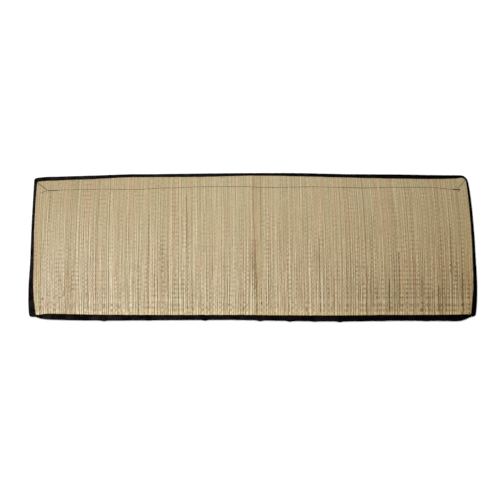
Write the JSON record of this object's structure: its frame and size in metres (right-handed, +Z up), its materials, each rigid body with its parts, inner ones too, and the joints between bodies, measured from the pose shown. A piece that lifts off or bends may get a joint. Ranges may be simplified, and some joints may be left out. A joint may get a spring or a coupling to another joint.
{
  "type": "korai grass floor mat",
  "caption": "Long flat floor mat of woven korai grass, softly padded, with a fold channel across its middle and a black cotton binding round its edge.",
  "frame": {"origin": "on the floor, under the middle of the mat's outline", "axes": "+X along the mat from its left end to its right end, +Y across it from the near edge to the far edge, +Z up out of its woven face"},
  "size_m": [1.8317, 0.631, 0.0129],
  "materials": {
    "korai_straw": "woven dried grass, straw, olive and tan culms, low sheen",
    "black_cotton": "matt black cotton, slightly puckered"
  },
  "bodies": {
    "root": {"korai_panel": "korai_straw", "binding_near": "black_cotton", "binding_far": "black_cotton", "binding_left": "black_cotton", "binding_right": "black_cotton"}
  },
  "joints": []
}
